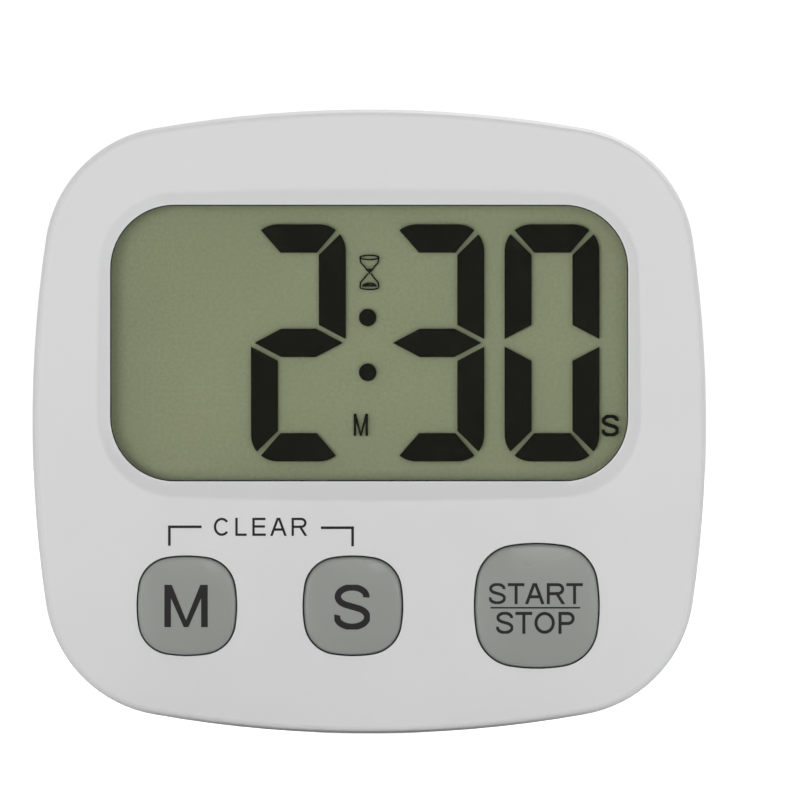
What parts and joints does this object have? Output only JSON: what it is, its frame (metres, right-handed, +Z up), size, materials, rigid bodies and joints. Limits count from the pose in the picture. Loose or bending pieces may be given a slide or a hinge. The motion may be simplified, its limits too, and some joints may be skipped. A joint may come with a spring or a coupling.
{
  "type": "kitchen timer",
  "caption": "Digital countdown kitchen timer: cushion-shaped white case, large segment display, three grey push buttons, fold-out stand with magnets, battery door at the back.",
  "frame": {"origin": "middle of the lowest point of the case, midway between its front and back", "axes": "+X to the right seen from the front, -Y out of the display, +Z up"},
  "size_m": [0.076, 0.02, 0.0704],
  "materials": {
    "case_plastic": "moulded ABS, fine satin",
    "button_plastic": "moulded grey, satin gloss",
    "clear_lens": "clear moulded acrylic",
    "adhesive_tape": "thin black foam tape",
    "polariser_film": "thin polariser film",
    "display_glass": "thin float glass",
    "epoxy_seal": "epoxy seal",
    "reflector_film": "grey-green reflective film",
    "frame_plastic": "moulded white",
    "contact_rubber": "layered conductive rubber",
    "board_laminate": "green glass-epoxy laminate",
    "chip_resin": "black epoxy",
    "nickel_can": "drawn nickel silver",
    "resistor_body": "ceramic chips with tinned ends",
    "capacitor_body": "ceramic chips with tinned ends",
    "screw_steel": "zinc plated",
    "key_rubber": "pale silicone",
    "carbon_rubber": "carbon loaded silicone",
    "cell_wrap": "shrink-wrapped steel can",
    "contact_metal": "nickel plated spring steel",
    "lead_red": "red insulated lead",
    "lead_black": "black insulated lead",
    "lead_yellow": "yellow insulated leads",
    "solder": "tin solder",
    "buzzer_brass": "rolled brass",
    "buzzer_ceramic": "silvered ceramic",
    "magnet_ferrite": "sintered ferrite"
  },
  "bodies": {
    "case": {"front_shell": "case_plastic", "back_shell": "case_plastic", "case_screws": "screw_steel", "display_window": "clear_lens", "window_tape": "adhesive_tape", "front_polariser": "polariser_film", "front_glass": "display_glass", "glass_seal": "epoxy_seal", "rear_glass": "display_glass", "reflector": "reflector_film", "display_frame": "frame_plastic", "contact_strip": "contact_rubber", "circuit_board": "board_laminate", "chip_cover": "chip_resin", "clock_crystal": "nickel_can", "chip_resistors": "resistor_body", "chip_capacitors": "capacitor_body", "board_screws": "screw_steel", "keypad_mat": "key_rubber", "battery_cell": "cell_wrap", "positive_contact": "contact_metal", "negative_contact": "contact_metal", "negative_spring": "contact_metal", "positive_lead": "lead_red", "negative_lead": "lead_black", "buzzer_leads": "lead_yellow", "solder_joints": "solder", "buzzer_disc": "buzzer_brass", "buzzer_ceramic": "buzzer_ceramic", "minutes_skirt": "key_rubber", "seconds_skirt": "key_rubber", "start_stop_skirt": "key_rubber"},
    "minutes_key": {"minutes_button": "button_plastic", "minutes_plunger": "key_rubber", "minutes_pill": "carbon_rubber"},
    "seconds_key": {"seconds_button": "button_plastic", "seconds_plunger": "key_rubber", "seconds_pill": "carbon_rubber"},
    "start_stop_key": {"start_stop_button": "button_plastic", "start_stop_plunger": "key_rubber", "start_stop_pill": "carbon_rubber"},
    "battery_cover": {"battery_door": "case_plastic"},
    "stand_leg": {"stand": "case_plastic", "magnets": "magnet_ferrite"}
  },
  "joints": [
    {"name": "minutes_press", "type": "slide", "parent": "case", "child": "minutes_key", "axis": [0, 1, 0], "range_m": [0, 0.0008], "stiffness_N_per_m": 1200, "springref_m": -0.0004, "deforming": ["minutes_skirt"]},
    {"name": "seconds_press", "type": "slide", "parent": "case", "child": "seconds_key", "axis": [0, 1, 0], "range_m": [0, 0.0008], "stiffness_N_per_m": 1200, "springref_m": -0.0004, "deforming": ["seconds_skirt"]},
    {"name": "start_stop_press", "type": "slide", "parent": "case", "child": "start_stop_key", "axis": [0, 1, 0], "range_m": [0, 0.0008], "stiffness_N_per_m": 1200, "springref_m": -0.0004, "deforming": ["start_stop_skirt"]},
    {"name": "stand_hinge", "type": "hinge", "parent": "case", "child": "stand_leg", "pos_m": [0, 0.0083, 0.043], "axis": [1, 0, 0], "range_deg": [0, 55]},
    {"name": "door_hinge", "type": "hinge", "parent": "case", "child": "battery_cover", "pos_m": [-0.0259, 0.01, 0.053], "axis": [0, 0, 1], "range_deg": [0, 60]}
  ]
}
